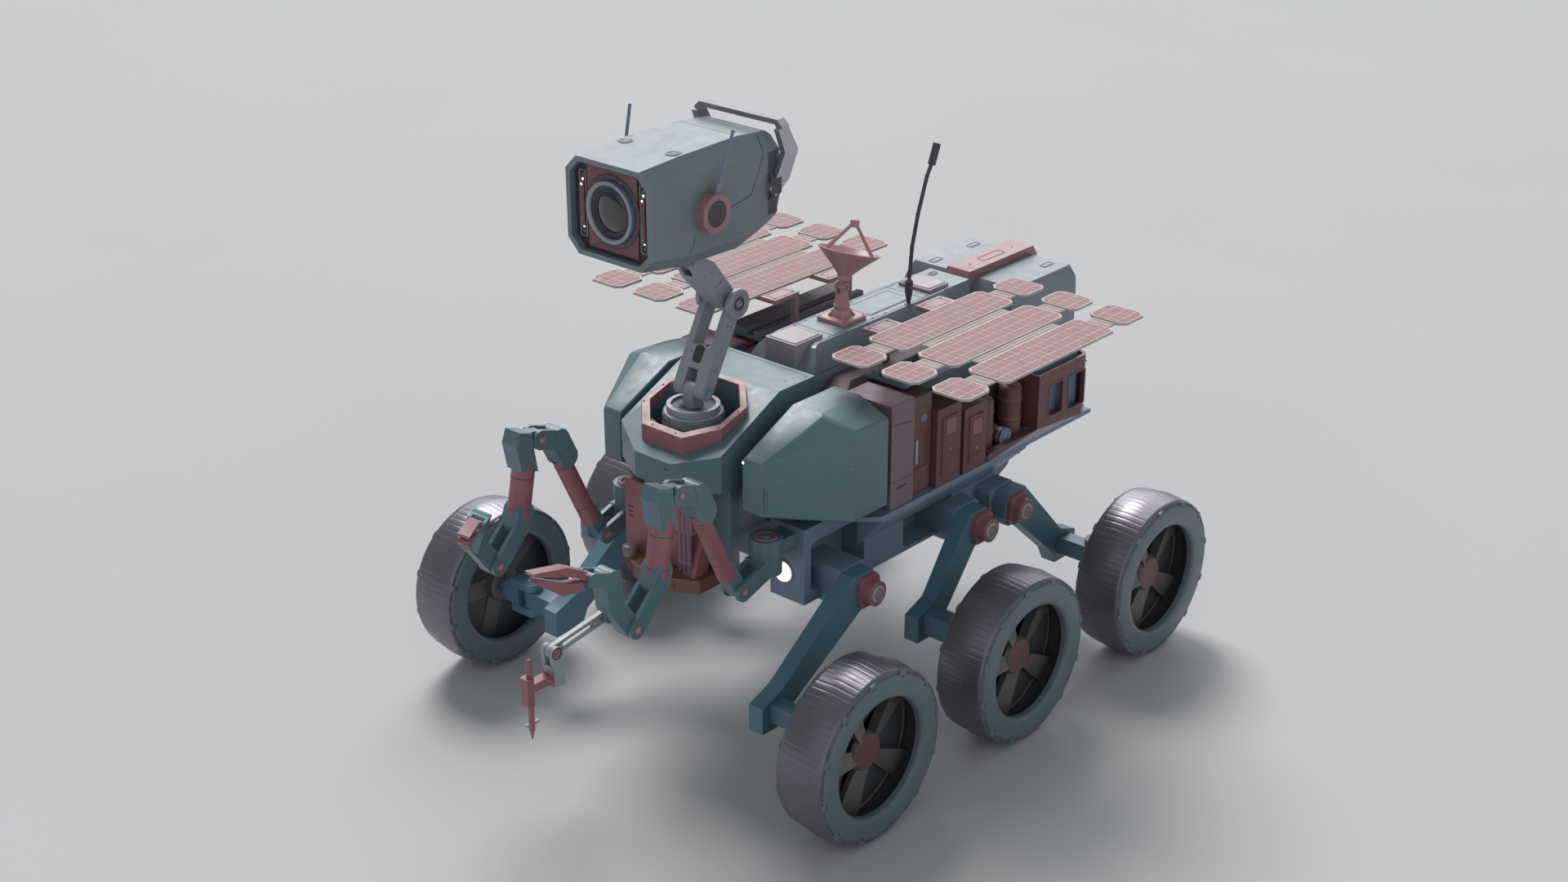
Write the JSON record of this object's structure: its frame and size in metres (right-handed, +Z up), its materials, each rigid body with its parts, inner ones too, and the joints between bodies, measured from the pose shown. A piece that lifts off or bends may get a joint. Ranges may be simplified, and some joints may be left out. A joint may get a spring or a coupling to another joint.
{
  "type": "planetary rover",
  "caption": "Six-wheeled planetary rover with an articulated camera mast, two folding arms, a dish antenna and flat solar wings.",
  "frame": {"origin": "on the ground at the middle of the overall length and width", "axes": "+X forward (the way the camera looks), +Y to the rover's left, +Z up"},
  "size_m": [2.46, 1.637, 1.8523],
  "materials": {
    "tread": "satin",
    "rim_paint": "satin",
    "blue_paint": "satin",
    "red_paint": "satin",
    "solar_cells": "gloss",
    "mast_grey": "satin",
    "dark_glass": "matte",
    "lamp": "gloss",
    "pale_panel": "satin",
    "dark_plastic": "matte",
    "dark_shell": "satin"
  },
  "bodies": {
    "chassis": {"arm_mounts": "blue_paint", "axle_boxes": "blue_paint", "body_tub": "dark_shell", "chassis_frame": "blue_paint", "deck_hatches": "pale_panel", "deck_spine": "blue_paint", "dish_base": "red_paint", "fenders": "blue_paint", "headlamps": "lamp", "hood": "blue_paint", "hood_collar": "red_paint", "leg_caps": "red_paint", "nose_bay": "red_paint", "rear_box": "blue_paint", "rear_strap": "red_paint", "side_lockers": "red_paint", "side_racks": "red_paint", "solar_left": "solar_cells", "solar_mounts": "red_paint", "solar_right": "solar_cells", "suspension_legs": "blue_paint", "tanks": "red_paint", "whip_antenna": "dark_plastic"},
    "wheel_front_left": {"tyre_front_left": "tread", "rim_front_left": "rim_paint"},
    "steer_front_left": {"knuckle_front_left": "blue_paint"},
    "wheel_front_right": {"tyre_front_right": "tread", "rim_front_right": "rim_paint"},
    "steer_front_right": {"knuckle_front_right": "blue_paint"},
    "wheel_middle_left": {"tyre_middle_left": "tread", "rim_middle_left": "rim_paint"},
    "wheel_middle_right": {"tyre_middle_right": "tread", "rim_middle_right": "rim_paint"},
    "wheel_rear_left": {"tyre_rear_left": "tread", "rim_rear_left": "rim_paint"},
    "steer_rear_left": {"knuckle_rear_left": "blue_paint"},
    "wheel_rear_right": {"tyre_rear_right": "tread", "rim_rear_right": "rim_paint"},
    "steer_rear_right": {"knuckle_rear_right": "blue_paint"},
    "turret": {"turret": "mast_grey"},
    "mast_arm": {"mast_arm": "mast_grey"},
    "mast_neck": {"mast_neck": "mast_grey"},
    "head": {"head_shell": "blue_paint", "head_face": "dark_glass"},
    "dish_turn": {"dish_yoke": "red_paint"},
    "dish": {"dish_bowl": "red_paint"},
    "arm_left_shoulder": {"arm_left_shoulder": "blue_paint"},
    "arm_left_lower": {"arm_left_lower": "blue_paint"},
    "arm_left_upper": {"arm_left_upper": "blue_paint"},
    "arm_left_forearm": {"arm_left_forearm": "blue_paint"},
    "jaw_upper_left": {"jaw_upper_left": "red_paint"},
    "jaw_lower_left": {"jaw_lower_left": "red_paint"},
    "arm_right_shoulder": {"arm_right_shoulder": "blue_paint"},
    "arm_right_lower": {"arm_right_lower": "blue_paint"},
    "arm_right_upper": {"arm_right_upper": "blue_paint"},
    "arm_right_forearm": {"arm_right_forearm": "blue_paint"},
    "jaw_upper_right": {"jaw_upper_right": "red_paint"},
    "jaw_lower_right": {"jaw_lower_right": "red_paint"},
    "tool_link": {"tool_link": "blue_paint"},
    "drill": {"drill": "red_paint"}
  },
  "joints": [
    {"name": "steer_front_left_swivel", "type": "hinge", "parent": "chassis", "child": "steer_front_left", "pos_m": [0.494, 0.56, 0.26], "axis": [0, 0, 1], "range_deg": [-30, 30]},
    {"name": "wheel_front_left_spin", "type": "hinge", "parent": "steer_front_left", "child": "wheel_front_left", "pos_m": [0.494, 0.7365, 0.26], "axis": [0, 1, 0], "continuous": true},
    {"name": "steer_front_right_swivel", "type": "hinge", "parent": "chassis", "child": "steer_front_right", "pos_m": [0.494, -0.56, 0.26], "axis": [0, 0, 1], "range_deg": [-30, 30]},
    {"name": "wheel_front_right_spin", "type": "hinge", "parent": "steer_front_right", "child": "wheel_front_right", "pos_m": [0.494, -0.7365, 0.26], "axis": [0, 1, 0], "continuous": true},
    {"name": "wheel_middle_left_spin", "type": "hinge", "parent": "chassis", "child": "wheel_middle_left", "pos_m": [-0.196, 0.7365, 0.26], "axis": [0, 1, 0], "continuous": true},
    {"name": "wheel_middle_right_spin", "type": "hinge", "parent": "chassis", "child": "wheel_middle_right", "pos_m": [-0.196, -0.7365, 0.26], "axis": [0, 1, 0], "continuous": true},
    {"name": "steer_rear_left_swivel", "type": "hinge", "parent": "chassis", "child": "steer_rear_left", "pos_m": [-0.886, 0.56, 0.26], "axis": [0, 0, 1], "range_deg": [-30, 30]},
    {"name": "wheel_rear_left_spin", "type": "hinge", "parent": "steer_rear_left", "child": "wheel_rear_left", "pos_m": [-0.886, 0.7365, 0.26], "axis": [0, 1, 0], "continuous": true},
    {"name": "steer_rear_right_swivel", "type": "hinge", "parent": "chassis", "child": "steer_rear_right", "pos_m": [-0.886, -0.56, 0.26], "axis": [0, 0, 1], "range_deg": [-30, 30]},
    {"name": "wheel_rear_right_spin", "type": "hinge", "parent": "steer_rear_right", "child": "wheel_rear_right", "pos_m": [-0.886, -0.7365, 0.26], "axis": [0, 1, 0], "continuous": true},
    {"name": "mast_pan", "type": "hinge", "parent": "chassis", "child": "turret", "pos_m": [0.352, 0, 0.98], "axis": [0, 0, 1], "range_deg": [-150, 150]},
    {"name": "mast_lean", "type": "hinge", "parent": "turret", "child": "mast_arm", "pos_m": [0.352, 0, 1.062], "axis": [0, 1, 0], "range_deg": [-15, 25]},
    {"name": "mast_elbow", "type": "hinge", "parent": "mast_arm", "child": "mast_neck", "pos_m": [0.228, 0, 1.296], "axis": [0, -1, 0], "range_deg": [-20, 15]},
    {"name": "head_tilt", "type": "hinge", "parent": "mast_neck", "child": "head", "pos_m": [0.349, 0, 1.43], "axis": [0, -1, 0], "range_deg": [-25, 20]},
    {"name": "dish_pan", "type": "hinge", "parent": "chassis", "child": "dish_turn", "pos_m": [-0.291, 0, 1.124], "axis": [0, 0, 1], "range_deg": [-170, 170]},
    {"name": "dish_tilt", "type": "hinge", "parent": "dish_turn", "child": "dish", "pos_m": [-0.291, 0, 1.19], "axis": [0, 1, 0], "range_deg": [-50, 50]},
    {"name": "arm_left_swing", "type": "hinge", "parent": "chassis", "child": "arm_left_shoulder", "pos_m": [0.349, 0.27, 0.62], "axis": [0, 0, 1], "range_deg": [-8, 30]},
    {"name": "arm_left_shoulder_pitch", "type": "hinge", "parent": "arm_left_shoulder", "child": "arm_left_lower", "pos_m": [0.473, 0.27, 0.572], "axis": [0, -1, 0], "range_deg": [-18, 10]},
    {"name": "arm_left_elbow_pitch", "type": "hinge", "parent": "arm_left_lower", "child": "arm_left_upper", "pos_m": [0.709, 0.27, 0.952], "axis": [0, -1, 0], "range_deg": [-12, 25]},
    {"name": "arm_left_wrist_pitch", "type": "hinge", "parent": "arm_left_upper", "child": "arm_left_forearm", "pos_m": [0.887, 0.27, 0.625], "axis": [0, -1, 0], "range_deg": [-20, 20]},
    {"name": "arm_left_jaw_upper_open", "type": "hinge", "parent": "arm_left_forearm", "child": "jaw_upper_left", "pos_m": [1.03, 0.27, 0.826], "axis": [0, -1, 0], "range_deg": [-1, 25]},
    {"name": "arm_left_jaw_lower_open", "type": "hinge", "parent": "arm_left_forearm", "child": "jaw_lower_left", "pos_m": [1.03, 0.27, 0.826], "axis": [0, 1, 0], "range_deg": [-1, 25]},
    {"name": "arm_right_swing", "type": "hinge", "parent": "chassis", "child": "arm_right_shoulder", "pos_m": [0.349, -0.27, 0.62], "axis": [0, 0, -1], "range_deg": [-8, 30]},
    {"name": "arm_right_shoulder_pitch", "type": "hinge", "parent": "arm_right_shoulder", "child": "arm_right_lower", "pos_m": [0.473, -0.27, 0.572], "axis": [0, -1, 0], "range_deg": [-18, 10]},
    {"name": "arm_right_elbow_pitch", "type": "hinge", "parent": "arm_right_lower", "child": "arm_right_upper", "pos_m": [0.709, -0.27, 0.952], "axis": [0, -1, 0], "range_deg": [-12, 25]},
    {"name": "arm_right_wrist_pitch", "type": "hinge", "parent": "arm_right_upper", "child": "arm_right_forearm", "pos_m": [0.887, -0.27, 0.625], "axis": [0, -1, 0], "range_deg": [-20, 20]},
    {"name": "arm_right_jaw_upper_open", "type": "hinge", "parent": "arm_right_forearm", "child": "jaw_upper_right", "pos_m": [1.00431, -0.19473, 0.81389], "axis": [0.532, -0.7766, 0.3375], "range_deg": [-1, 25]},
    {"name": "arm_right_jaw_lower_open", "type": "hinge", "parent": "arm_right_forearm", "child": "jaw_lower_right", "pos_m": [1.00431, -0.19473, 0.81389], "axis": [-0.532, 0.7766, -0.3375], "range_deg": [-1, 25]},
    {"name": "tool_link_pitch", "type": "hinge", "parent": "arm_left_forearm", "child": "tool_link", "pos_m": [0.944, 0.232, 0.668], "axis": [0, -1, 0], "range_deg": [-12, 12]},
    {"name": "drill_pitch", "type": "hinge", "parent": "tool_link", "child": "drill", "pos_m": [1.132, 0.232, 0.641], "axis": [0, -1, 0], "range_deg": [-20, 20]}
  ],
  "couplings": [
    {"joint": "arm_left_jaw_lower_open", "follows": "arm_left_jaw_upper_open", "ratio": 1},
    {"joint": "arm_right_jaw_lower_open", "follows": "arm_right_jaw_upper_open", "ratio": 1}
  ]
}
